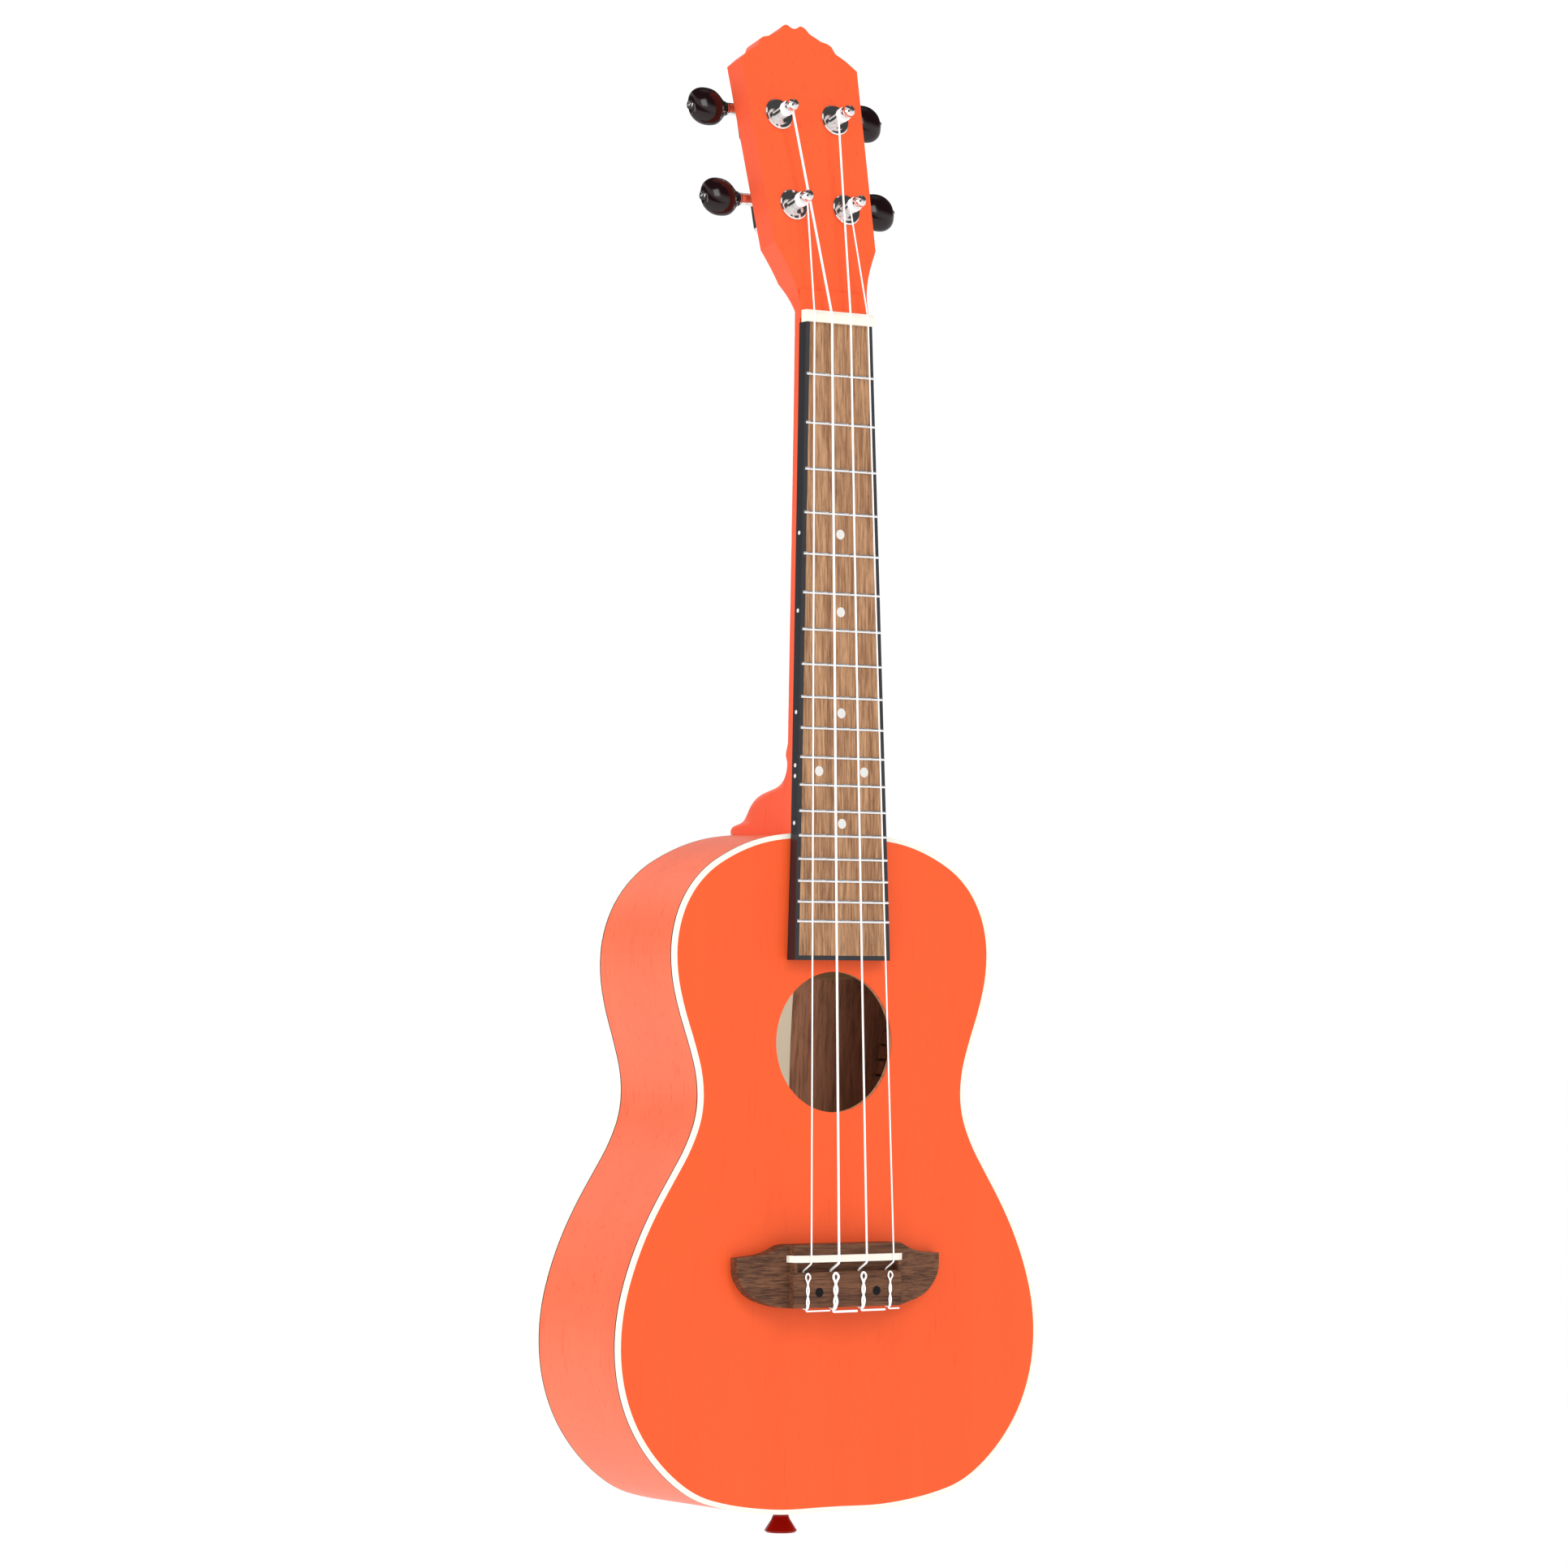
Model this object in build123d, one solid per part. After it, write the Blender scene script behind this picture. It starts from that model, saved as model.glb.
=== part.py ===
from build123d import *
import math
import os

os.makedirs("parts", exist_ok=True)

# Concert ukulele. Millimetres. X to the bass-to-treble side, Y from the soundboard to the back,
# Z up the neck. The origin is the middle of the nut's front edge at the fingerboard face.

# ---- scale and fingerboard -------------------------------------------------
SCALE = 383.0            # nut to nominal saddle line
FRETS = 18
NUT_HALF = 16.67         # half width of the fingerboard at the nut
TAPER = 0.0273           # growth of the half width for each mm down the board
BOARD_END = 263.6        # nut to the end of the fingerboard
BOARD_TOP = 4.7          # fingerboard face in front of its underside at the joint
BOARD_EDGE = 2.0         # width of the black edging
JOINT = 216.0            # nut to the neck and body joint
NECK_ANGLE = 1.2         # lean of the neck away from the soundboard plane, degrees
FRET_W = 1.5
FRET_H = 0.8
DOT_R = 2.05
SIDE_DOT_R = 0.85
DOT_FRETS = (5, 7, 10, 12, 14)

# ---- headstock -------------------------------------------------------------
HEAD_ANGLE = 13.2
HEAD_T = 10.5
NUT_T = 5.0
NUT_TOP = 6.3            # nut top in front of the fingerboard underside
FACE_START = 1.64        # headstock face in front of the fingerboard underside, behind the nut

# ---- body ------------------------------------------------------------------
SKIN = 2.1               # soundboard and back thickness
RIM = 2.0                # side thickness and binding width
BIND_H = 1.5             # binding depth down the side
PURF_H = 0.4             # dark line under the binding
DEPTH = 61.2             # body depth from the tail to the waist
ARCH_START = -330.0      # the back is flat below this height and bends forward above it
ARCH_R = 530.0
HOLE_Z = -297.2
HOLE_R = 29.0
LINING_W = 4.5
LINING_H = 9.0

# ---- bridge ----------------------------------------------------------------
BLOCK_HALF = 26.8
BLOCK_TOP = 11.0
WING_IN = 7.3
WING_OUT = 4.5
SADDLE_Z = -385.5
SADDLE_T = 2.8
SADDLE_TOP = 13.9
SADDLE_HALF = 28.0
PLUG_X = 14.3
PLUG_Z = -399.3
STRING_SADDLE = (-20.6, -7.0, 7.0, 20.6)
STRING_NUT = (-13.5, -4.7, 4.7, 13.5)
STRING_R = (0.33, 0.50, 0.42, 0.31)
STRING_NAMES = ("g", "c", "e", "a")

# ---- tuning machines -------------------------------------------------------
TUNERS = (("g", -1, 13.3, 46.8), ("c", -1, 14.2, 87.1), ("e", 1, 14.2, 87.1), ("a", 1, 13.3, 46.8))
WORM_UP = 6.8            # worm axis above the post axis
WORM_DEEP = 14.8         # worm axis behind the headstock face
FIT = 0.05               # radial running clearance
POST_R = 2.8
GROOVE_R = 2.1
WIND_Y = -6.6            # middle of the string winding, in front of the headstock face

# ---- strap button ----------------------------------------------------------
STRAP_Y = 37.0
STRAP_NECK_R = 3.4
STRAP_HEAD_R = 6.8
STRAP_LEN = 11.6

NECK = Pos(0, 0, -JOINT) * Rot(X=-NECK_ANGLE) * Pos(0, 0, JOINT)
HEAD = NECK * Pos(0, -FACE_START, NUT_T) * Rot(X=-HEAD_ANGLE)


def save(shape, name):
    export_step(shape, "parts/" + name + ".step")


def point(place, x, y, z):
    return (place * Pos(x, y, z)).position


def slab(face, y0, y1):
    """A face drawn in X and Z, made solid from y0 back to y1."""
    return Pos(0, y1, 0) * extrude(Plane.XZ * face, amount=y1 - y0, dir=(0, -1, 0))


def side_profile(pts, half):
    """A closed outline in Y and Z, made solid from -half to +half in X."""
    face = Plane.YZ * make_face(Polyline(*pts, close=True))
    return Pos(-half, 0, 0) * extrude(face, amount=2 * half, dir=(1, 0, 0))


def rod(x, z, r, y0, y1):
    return Pos(x, (y0 + y1) / 2, z) * Rot(X=90) * Cylinder(r, y1 - y0)


def spun(pts, place):
    """Turn an outline of (radius, height) about local Z."""
    face = Plane.XZ * make_face(Polyline(*pts, close=True))
    return place * revolve(face, Axis.Z, 360)


def mirrored(shape):
    return mirror(shape, about=Plane.YZ)


def group(solids):
    return Compound(children=list(solids))


def fret_at(n):
    return SCALE * (1 - 2 ** (-n / 12))


def board_half(d):
    return NUT_HALF + TAPER * d


# ---- body outline ----------------------------------------------------------
rim_pts = [(0, -213.0), (21, -213.5), (38.5, -216.3), (55, -223.2), (67.4, -232.4), (74.9, -245.5),
           (77.8, -261.0), (75.8, -276.1), (68.0, -299.8), (64.0, -320.0), (69.7, -339.2),
           (84.2, -362.5), (96.1, -385.8), (102.9, -412.0), (102.0, -433.0), (92.7, -456.2),
           (78.0, -472.6), (61.5, -482.2), (32.0, -487.3), (0, -488.2)]
rim = Spline(*rim_pts, tangents=[(1, 0), (-1, 0)])


def two_arcs(p0, t0, p1, t1):
    """A pair of arcs that leaves p0 along t0 and arrives at p1 along t1."""
    v = p1 - p0
    a = 2 * (1 - t0.dot(t1))
    b = v.dot(t0 + t1)
    c = v.dot(v)
    d = c / (2 * b) if a < 1e-6 else (-b + math.sqrt(b * b + a * c)) / a
    mid = (p0 + p1 + (t0 - t1) * d) / 2
    first = TangentArc(p0, mid, tangent=t0)
    return [first, TangentArc(mid, p1, tangent=first % 1)]


SPANS = 14


def outline(grow):
    """The body outline as a face, moved outward by grow."""
    pts = []
    for i in range(SPANS + 1):
        u = i / SPANS
        v = rim % u
        pts.append((rim @ u + Vector(-v.Y, v.X) * grow, v))
    edges = []
    for (p0, t0), (p1, t1) in zip(pts, pts[1:]):
        edges += [e.edge() for e in two_arcs(p0, t0, p1, t1)]
    edges += [mirror(e, about=Plane.YZ).edge() for e in edges]
    return Sketch() + Face(Wire(edges))


inner = outline(0)
outer = outline(RIM)
under = outline(-LINING_W)
lining_web = outline(-1.2)
ring = outer - inner


def back_at(z):
    """Y of the outside of the back at height z."""
    if z <= ARCH_START:
        return DEPTH
    return DEPTH - (ARCH_R - math.sqrt(ARCH_R ** 2 - (z - ARCH_START) ** 2))


def front_of(t):
    """Everything in front of a surface t forward of the outside of the back."""
    r = ARCH_R - t
    a1 = math.asin((-200.0 - ARCH_START) / ARCH_R)
    y0 = DEPTH - t
    c = DEPTH - ARCH_R
    mid = (c + r * math.cos(a1 / 2), ARCH_START + r * math.sin(a1 / 2))
    end = (c + r * math.cos(a1), ARCH_START + r * math.sin(a1))
    edges = [Line((y0, -500), (y0, ARCH_START)), ThreePointArc((y0, ARCH_START), mid, end),
             Line(end, (-30, end[1])), Line((-30, end[1]), (-30, -500)), Line((-30, -500), (y0, -500))]
    face = make_face(Curve() + edges)
    return Pos(-120, 0, 0) * extrude(Plane.YZ * face, amount=240, dir=(1, 0, 0))


def back_layer(shape, t0, t1):
    """The part of a shape between two depths measured forward from the outside of the back."""
    return (shape & front_of(t0)) - front_of(t1)


def halves(shape, left_name, right_name):
    big = Box(200, 200, 400)
    save(shape & (Pos(-100.02, 30, -340) * big), left_name)
    save(shape & (Pos(100.02, 30, -340) * big), right_name)


# ---- plates, sides, edging -------------------------------------------------
soundboard = slab(inner, 0, SKIN) - rod(0, HOLE_Z, HOLE_R, -5, 10)
for sx in (-1, 1):
    soundboard -= rod(sx * PLUG_X, PLUG_Z, 1.5, -5, 10)
save(soundboard, "soundboard")

deep = slab(inner, 10, 70)
back_plate = back_layer(deep, 0, SKIN)
save(back_plate, "back_plate")

ring_all = slab(ring, 0, 70)
front_cut = slab(ring, SKIN, 70)
sides = front_cut & front_of(SKIN)
dowel = Pos(0, 24, -216) * Cylinder(4.0, 44)
strap_screw_hole = Pos(0, STRAP_Y, -490) * Cylinder(1.75, 40)
sides -= Pos(0, 24, -216) * Cylinder(4.0, 44)
sides -= strap_screw_hole
halves(sides, "side_left", "side_right")

save(slab(ring, 0, BIND_H), "front_binding")
save(back_layer(ring_all, 0, BIND_H), "back_binding")
save(group([slab(ring, BIND_H, SKIN), back_layer(ring_all, BIND_H, SKIN)]), "purfling")

# ---- kerfed linings: a strip sawn almost through every few millimetres ------
band = inner - under
cuts = []
steps = int(rim.length / 6.2)
for i in range(2, steps - 1):
    t = i / steps
    p = rim @ t
    v = rim % t
    a = math.degrees(math.atan2(v.Y, v.X))
    for sx in (-1, 1):
        ang = a if sx > 0 else 180 - a
        cuts.append(Pos(sx * p.X, p.Y) * Rot(Z=ang) * Rectangle(1.2, 2 * LINING_W + 1))
kerfed = (band & lining_web) - cuts + (inner - lining_web)
neck_slot = Pos(0, -225) * Rectangle(60, 40)
tail_slot = Pos(0, -480) * Rectangle(56, 40)
kerfed = kerfed - neck_slot - tail_slot
kerf_front = slab(kerfed, SKIN, SKIN + LINING_H)
kerf_back = back_layer(slab(kerfed, 30, 70), SKIN, SKIN + LINING_H)
save(group(kerf_front.solids() + kerf_back.solids()), "linings")

# ---- blocks, braces, patch, strip, label -----------------------------------
inside = slab(inner, SKIN, 70) & front_of(SKIN)
neck_block = inside & (Pos(0, 30, -228) * Box(58, 80, 32))
neck_block -= dowel
save(neck_block, "neck_block")
tail_block = inside & (Pos(0, 30, -481) * Box(54, 80, 16))
tail_block -= strap_screw_hole
save(tail_block, "tail_block")

clear = slab(outline(-LINING_W - 0.3), SKIN, 70) & front_of(SKIN)
tops = [clear & (Pos(0, SKIN + 4.0, -262.5) * Box(180, 8, 6)),
        clear & (Pos(0, SKIN + 4.0, -333.0) * Box(180, 8, 6))]
for x in (-42.0, 42.0):
    tops.append(Pos(x, SKIN + 3.0, -402) * Box(4, 6, 110))
tops.append(Pos(0, SKIN + 3.0, -441) * Box(4, 6, 44))
save(group(tops), "top_braces")

backs = []
for z in (-268.0, -335.0, -425.0):
    bar = back_layer(clear & (Pos(0, 30, z) * Box(220, 80, 7)), SKIN, SKIN + 9)
    backs.append(bar)
save(group(backs), "back_braces")
strips = []
for z0, z1 in ((-264.0, -244.5), (-421.0, -339.0), (-472.5, -429.0)):
    block = Pos(0, 30, (z0 + z1) / 2) * Box(14, 80, z1 - z0)
    piece = back_layer(inside & block, SKIN, SKIN + 1.6)
    strips.append(piece)
save(group(strips), "seam_strips")

patch = Pos(0, SKIN + 1.0, -393) * Box(66, 2, 40)
for sx in (-1, 1):
    patch -= rod(sx * PLUG_X, PLUG_Z, 1.5, -5, 10)
save(patch, "bridge_patch")
label = back_layer(clear & (Pos(0, 30, -300) * Box(35.2, 80, 50)), SKIN, SKIN + 0.2)
save(label, "label")

# ---- fingerboard, edging, frets, dots, nut ---------------------------------
top0 = point(NECK, 0, -BOARD_TOP, 0)
top1 = point(NECK, 0, -BOARD_TOP, -BOARD_END)
low0 = point(NECK, 0, 0, 0)
HINGE_Z = -210.8         # just above the body's edge the board's underside starts to follow the neck
board_yz = side_profile([(top0.Y, top0.Z), (top1.Y, top1.Z), (0, top1.Z), (0, HINGE_Z), (low0.Y, low0.Z)], 40)


def board_plan(edge, end):
    pts = [(-board_half(0) + edge, 5), (board_half(0) - edge, 5), (board_half(0) - edge, 0),
           (board_half(end) - edge, -end), (-board_half(end) + edge, -end), (-board_half(0) + edge, 0)]
    return slab(make_face(Polyline(*pts, close=True)), -20, 20)


wood = board_yz & board_plan(BOARD_EDGE, BOARD_END - BOARD_EDGE)
edging = (board_yz & board_plan(0, BOARD_END + 1)) - wood
dots = []
marks = []
for n in DOT_FRETS:
    z = -(fret_at(n - 1) + fret_at(n)) / 2
    spots = (-11.3, 11.3) if n == 12 else (0,)
    for x in spots:
        dots.append(NECK * rod(x, z, DOT_R, -BOARD_TOP, -BOARD_TOP + 1.5))
    heights = (z - 2.2, z + 2.2) if n == 12 else (z,)
    for h in heights:
        w = board_half(-h)
        marks.append(NECK * Pos(-w + 0.35, -BOARD_TOP / 2, h) * Rot(Y=90) * Cylinder(SIDE_DOT_R, 1.0))
dots = [d & board_yz for d in dots]
marks = [m & edging for m in marks]
for d in dots:
    wood -= d
for m in marks:
    edging -= m
save(wood, "fingerboard")
save(edging, "fingerboard_edging")
save(group(dots + marks), "position_dots")

frets = []
crown = make_face(Curve() + [ThreePointArc((-FRET_W / 2, 0), (0, FRET_H), (FRET_W / 2, 0)),
                             Line((FRET_W / 2, 0), (-FRET_W / 2, 0))])
for n in range(1, FRETS + 1):
    d = fret_at(n)
    w = board_half(d) - 0.1
    wire = Pos(-w, -BOARD_TOP, -d) * extrude(Plane.YZ * (Rot(Z=90) * crown), amount=2 * w, dir=(1, 0, 0))
    for sx in (-1, 1):
        wire -= Pos(sx * (w + 0.55), -BOARD_TOP - 1.0, -d) * Rot(Y=0, Z=sx * 30) * Box(1.2, 4, 4)
    frets.append(NECK * wire)
save(group(frets), "frets")

nut_yz = [(-FACE_START + 0.0, 0.0), (-FACE_START, NUT_T), (-NUT_TOP + 1.0, NUT_T), (-NUT_TOP, NUT_T - 1.6),
          (-NUT_TOP, 0.0)]
nut = side_profile(nut_yz, board_half(0) + 0.2)
for x, r in zip(STRING_NUT, STRING_R):
    nut -= Pos(x, -NUT_TOP, NUT_T / 2) * Cylinder(r, 12)
    nut -= Pos(x, -NUT_TOP - 0.5, NUT_T / 2) * Box(2 * r, 1.0, 12)
save(NECK * nut, "nut")

# ---- neck, heel and headstock ----------------------------------------------
FRONT = 0.6              # how far the sections stand in front of the board's underside before it is cut


def neck_section(w, depth, full):
    """Half-width w at the front, depth behind it; full is 0 for a round back and 1 for a square one."""
    a, b, c = (p + full * (q - p) for p, q in ((0.955, 0.945), (0.735, 0.86), (0.40, 0.68)))
    one = [(w, 0), (w * a, depth * 0.345), (w * b, depth * 0.728), (w * c, depth * 0.946)]
    pts = [(-x, y) for x, y in one] + [(0, depth)] + one[::-1]
    arch = Spline(*pts, tangents=[(0, 1), (0, -1)])
    rest = Polyline((w, 0), (w, -FRONT), (-w, -FRONT), (-w, 0))
    return make_face(Curve() + [arch, rest])


def swept(sections):
    return loft([Pos(0, 0, z) * neck_section(w, t, full) for z, w, t, full in sections], ruled=False)


shaft = swept([(z, board_half(max(-z, 0.0)), t, 0.0) for z, t in ((NUT_T + 9.0, 11.6), (-60.0, 12.2),
                                                                  (-130.0, 12.7), (-174.0, 13.0))])
heel = swept([(z, board_half(-z), t, full) for z, t, full in (
    (-174.0, 13.0, 0.0), (-182.0, 13.6, 0.1), (-187.6, 15.9, 0.3), (-191.0, 21.0, 0.5), (-192.8, 29.0, 0.7),
    (-194.2, 35.4, 0.85), (-198.4, 42.2, 1.0), (-205.2, 48.0, 1.15), (-216.0, 51.5, 1.3), (-224.0, 53.0, 1.3))])

lower = [(17.2, 0), (17.5, 8.1), (20.0, 17.5), (25.6, 29.5)]
top = [(29.6, 110.8), (24.6, 114.8), (21.6, 116.6), (19.7, 117.8), (18.4, 120.2), (16.4, 121.8),
       (12.9, 122.7), (10.6, 124.0), (7.6, 125.6), (5.6, 127.8), (3.4, 128.5), (0, 127.1)]
edge_r = Curve() + [Line((0, -3.0), (17.2, -3.0)), Line((17.2, -3.0), (17.2, 0)), Spline(*lower, tangents=[(0, 1), (0.5, 1)]),
                    Line(lower[-1], top[0]), Line(top[0], top[1]), Spline(*top[1:], tangents=[(-3, 2), (-1, 0)])]
edge_l = mirror(edge_r, about=Plane.YZ)
head_face = make_face(Curve() + [edge_r, edge_l])
blank = slab(head_face, 0, HEAD_T)
throat = swept([(-7.0, 17.3, 11.6, 0.0), (4.0, 18.4, 12.0, 0.3), (16.0, 23.0, 14.5, 1.0), (30.0, 32.0, 22.0, 1.2)])
above = Pos(0, 5, 90) * Box(80, 40, 120.02)
head = HEAD * ((blank & throat) + (blank & above))

neck = NECK * shaft + NECK * heel
neck -= slab(outer, -5, 80)
neck -= Pos(0, 30, -240) * Box(60, 80, 40)
neck += head
front = side_profile([(0, -230), (0, HINGE_Z), (low0.Y, low0.Z), (-30, low0.Z), (-30, -230)], 40)
neck -= front
neck -= NECK * Pos(0, -FACE_START - 10, 2.5) * Box(80, 20, NUT_T)
neck -= dowel
for _, sx, x, s in TUNERS:
    neck -= HEAD * rod(sx * x, s, 4.0, -5, 20)
    neck -= HEAD * rod(sx * x, s - 10.0, 1.1, HEAD_T - 4.4, HEAD_T + 1)
save(neck, "neck")
save(Pos(0, 24, -216) * Cylinder(3.95, 43.6), "heel_dowel")

# ---- bridge ----------------------------------------------------------------
half = [(0, -379.8), (26.8, -379.8), (29.4, -380.2)]
wing = Spline((29.4, -380.2), (33.0, -381.8), (38.5, -383.6), (45.0, -384.4), (50.6, -384.8),
              tangents=[(1, -0.35), (1, -0.02)])
tail_c = Spline((50.6, -390.4), (48.0, -396.6), (41.8, -401.9), (32.6, -404.9), (20.0, -405.6),
                tangents=[(-0.15, -1), (-1, 0)])
br = Curve() + [Line(half[0], half[1]), Line(half[1], half[2]), wing, Line((50.6, -384.8), (50.6, -390.4)), tail_c,
                Line((20.0, -405.6), (0, -405.6))]
bridge_face = make_face(Curve() + [br, mirror(br, about=Plane.YZ)])
bridge = slab(bridge_face, -BLOCK_TOP, 0)
for sx in (-1, 1):
    pts = [(sx * BLOCK_HALF, -BLOCK_TOP - 1), (sx * BLOCK_HALF, -WING_IN), (sx * 52, -WING_OUT + 0.2),
           (sx * 52, -BLOCK_TOP - 1)]
    wedge = Pos(0, 0, -420) * extrude(make_face(Polyline(*pts, close=True)), amount=60, dir=(0, 0, 1))
    bridge -= wedge
bridge -= Pos(0, -BLOCK_TOP, -389.0) * Box(50.4, 7.4, 4.2)
bridge -= Pos(0, -BLOCK_TOP + 1.0, SADDLE_Z) * Box(2 * SADDLE_HALF, 10.0, SADDLE_T)
bevel = side_profile([(-BLOCK_TOP - 1, -393.6), (-BLOCK_TOP, -393.6), (-BLOCK_TOP + 1.1, -391.1),
                      (-BLOCK_TOP - 1, -391.1)], BLOCK_HALF + 1)
bridge -= bevel
for x, r in zip(STRING_SADDLE, STRING_R):
    bridge -= Pos(x, -8.4, -398) * Cylinder(1.0, 20)
for sx in (-1, 1):
    bridge -= rod(sx * PLUG_X, PLUG_Z, 1.9, -BLOCK_TOP - 1, -BLOCK_TOP + 3.0)
    bridge -= rod(sx * PLUG_X, PLUG_Z, 1.5, -BLOCK_TOP, 1)
save(bridge, "bridge")

crest = [(-SADDLE_HALF, -6.2), (-SADDLE_HALF, -9.2), (-SADDLE_HALF + 1.4, -11.6), (-SADDLE_HALF + 4.0, -13.2),
         (-14.0, -SADDLE_TOP), (14.0, -SADDLE_TOP), (SADDLE_HALF - 4.0, -13.2), (SADDLE_HALF - 1.4, -11.6),
         (SADDLE_HALF, -9.2), (SADDLE_HALF, -6.2), (-SADDLE_HALF, -6.2)]
crest_low = [(x, -5.1 if y == -6.2 else y) for x, y in crest]
saddle_face = make_face(Polyline(*crest_low[:-1], close=True))
saddle = Pos(0, 0, SADDLE_Z - SADDLE_T / 2) * extrude(saddle_face, amount=SADDLE_T, dir=(0, 0, 1))
save(saddle, "saddle")

plugs = []
bolts = []
for sx in (-1, 1):
    plugs.append(rod(sx * PLUG_X, PLUG_Z, 1.9, -BLOCK_TOP - 0.15, -BLOCK_TOP + 1.2))
    bolts.append(rod(sx * PLUG_X, PLUG_Z, 1.45, -BLOCK_TOP + 1.2, 8.0) + rod(sx * PLUG_X, PLUG_Z, 3.2, 4.1, 6.4))
save(group(plugs), "bridge_plugs")
save(group(bolts), "bridge_bolts")

# ---- strap button ----------------------------------------------------------
tail_z = -488.2 - RIM
knob = [(0, 0), (5.2, 0), (5.2, -0.8), (STRAP_NECK_R, -1.4), (STRAP_NECK_R, -5.0), (3.9, -6.2), (6.4, -10.1),
        (STRAP_HEAD_R, -10.6), (STRAP_HEAD_R, -11.0), (6.2, -STRAP_LEN), (0, -STRAP_LEN)]
knob_place = Pos(0, STRAP_Y, tail_z)
button = spun(knob, knob_place) - knob_place * Pos(0, 0, -6) * Cylinder(1.75, 20)
button -= knob_place * Pos(0, 0, -10.6) * Cylinder(3.3, 2.4)
save(button, "strap_button")
screw = [(0, 18.0), (0.9, 16.0), (1.7, 14.0), (1.7, -9.4), (3.2, -9.4), (3.2, -10.8), (2.4, -11.3), (0, -11.5)]
strap_screw = spun(screw, knob_place)
strap_screw -= knob_place * Pos(0, 0, -11.3) * Box(3.4, 0.7, 1.6)
strap_screw -= knob_place * Pos(0, 0, -11.3) * Box(0.7, 3.4, 1.6)
save(strap_screw, "strap_screw")

# ---- tuning machines -------------------------------------------------------
# Worked out in the headstock frame: X out to the side, Y behind the face, Z up the headstock.
CASE_T = 8.5
GEAR_Y = (13.2, 16.4)
WORM_R = 2.7
SHAFT_R = 1.5
SHAFT_OUT = 30.4         # where the shaft meets the button
BUTTON_LEN = 17.3
WIND_R = 2.55
WIRE_R = 0.46


def across(x0, x1, r, z):
    """A rod along X at the worm's depth."""
    return Pos((x0 + x1) / 2, WORM_DEEP, z) * Rot(Y=90) * Cylinder(r, x1 - x0)


def make_post(x, s):
    pts = [(0, 17.2), (1.6, 17.2), (1.6, 16.4), (POST_R, 16.4), (POST_R, -4.6), (2.5, -4.9), (GROOVE_R, -5.1),
           (GROOVE_R, -8.1), (2.5, -8.4), (2.7, -8.9), (2.3, -9.25), (1.7, -9.4), (2.35, -9.8), (2.6, -10.6),
           (2.45, -11.5), (1.9, -12.4), (1.0, -12.9), (0, -13.0)]
    post = spun([(r, -y) for r, y in pts], Pos(x, 0, s) * Rot(X=90))
    gear = Sketch() + Circle(3.2)
    for i in range(14):
        gear += Rot(Z=360.0 / 14 * i) * Pos(3.3, 0) * Rectangle(1.2, 0.75)
    wheel = Pos(x, GEAR_Y[1], s) * Rot(X=90) * extrude(gear, amount=GEAR_Y[1] - GEAR_Y[0])
    return post + wheel


def make_winding(x, s):
    """Three turns of string, sitting in the post's groove."""
    turns = spun([(GROOVE_R, -1.3), (WIND_R, -1.3), (WIND_R, 1.3), (GROOVE_R, 1.3)], Pos(0, 0, 0))
    for h in (-0.9, 0.0, 0.9):
        turns += Pos(0, 0, h) * Torus(WIND_R, WIRE_R)
    turns -= Cylinder(GROOVE_R, 5)
    return Pos(x, WIND_Y, s) * Rot(X=90) * turns


def make_worm(x, s):
    z = s + WORM_UP
    worm = across(x - 3.5, x + 3.5, WORM_R, z)
    for i in range(5):
        c = x - 2.8 + 1.4 * i
        worm -= across(c - 0.3, c + 0.3, 3.0, z) - across(c - 0.4, c + 0.4, 2.0, z)
    worm += across(x - 6.2, SHAFT_OUT, SHAFT_R, z)
    worm += across(SHAFT_OUT - 0.4, SHAFT_OUT, 2.6, z)
    worm += Pos(SHAFT_OUT + 7.0, WORM_DEEP, z) * Box(14.0, 2.0, 2.0)
    worm -= across(SHAFT_OUT + 8.0, SHAFT_OUT + 15.0, 0.6, z)
    return worm


def make_case(x, s):
    z = s + WORM_UP
    body = Pos(x, HEAD_T + CASE_T / 2, s + 3.0) * Box(15.0, CASE_T, 21.0)
    body = fillet(body.edges().filter_by(Axis.Y), 4.0)
    body += across(x + 5, SHAFT_OUT - 0.7, 2.6, z)
    body += Pos(x, HEAD_T + 0.8, s - 9.5) * Box(6.4, 1.6, 6.0)
    body -= rod(x, s, POST_R + FIT, HEAD_T - 1, HEAD_T + 4)
    body -= rod(x, s, 4.4, HEAD_T + 1.4, HEAD_T + CASE_T + 1)
    body -= across(x - 3.9, x + 3.9, 3.1, z)
    body -= Pos(x, HEAD_T + CASE_T, z) * Box(7.8, 2 * (HEAD_T + CASE_T - WORM_DEEP), 6.2)
    body -= across(x - 6.4, SHAFT_OUT + 1, SHAFT_R + FIT, z)
    body -= rod(x, s - 10.0, 1.1, HEAD_T - 1, HEAD_T + 3)
    return body


def make_cover(x, s):
    y = HEAD_T + CASE_T + 0.4
    cover = Pos(x, y, s + 3.0) * Box(15.0, 0.8, 21.0)
    return fillet(cover.edges().filter_by(Axis.Y), 4.0)


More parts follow.
